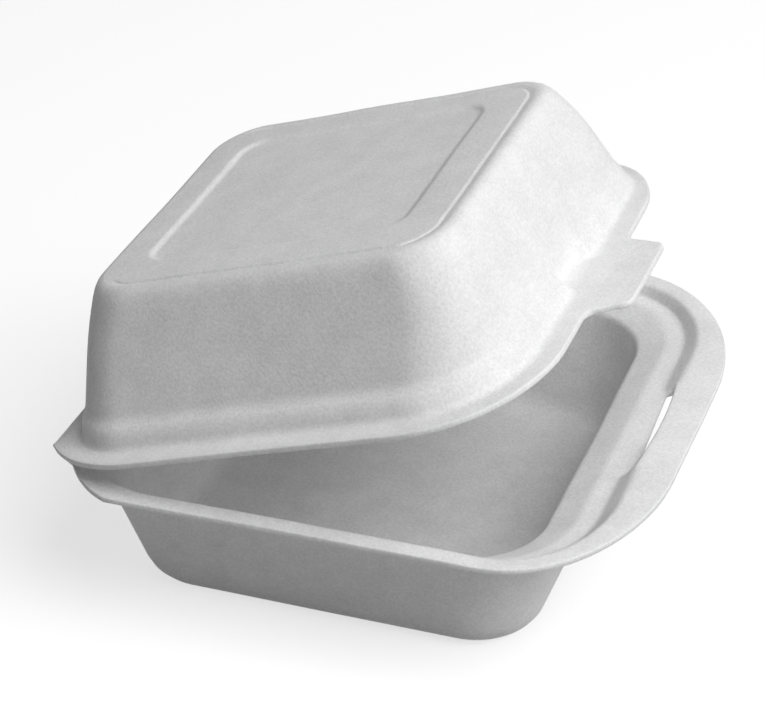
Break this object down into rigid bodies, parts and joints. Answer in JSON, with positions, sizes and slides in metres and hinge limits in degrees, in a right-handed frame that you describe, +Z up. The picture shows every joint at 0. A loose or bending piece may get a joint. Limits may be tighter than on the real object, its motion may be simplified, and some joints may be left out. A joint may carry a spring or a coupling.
{
  "type": "foam clamshell container",
  "caption": "Foam clamshell food container: a stepped-rim tray and a domed lid on a pressed fold, with a lock tab that closes into a slot in the front rim.",
  "frame": {"origin": "on the tray's resting face, on the centre plane of the container, at z = 0 where the tray meets the table", "axes": "+X along the fold, +Y from the latch side towards the fold, +Z up"},
  "size_m": [0.15, 0.1631, 0.1163],
  "materials": {
    "foam_tray": "moulded expanded polystyrene foam, pressed smooth",
    "foam_lid": "moulded expanded polystyrene foam, pressed smooth"
  },
  "bodies": {
    "tray": {"tray": "foam_tray"},
    "lid": {"lid": "foam_lid"}
  },
  "joints": [
    {"name": "lid_fold", "type": "hinge", "parent": "tray", "child": "lid", "pos_m": [0, 0.072, 0.042], "axis": [-1, 0, 0], "range_deg": [-16.6, 162.8]}
  ]
}
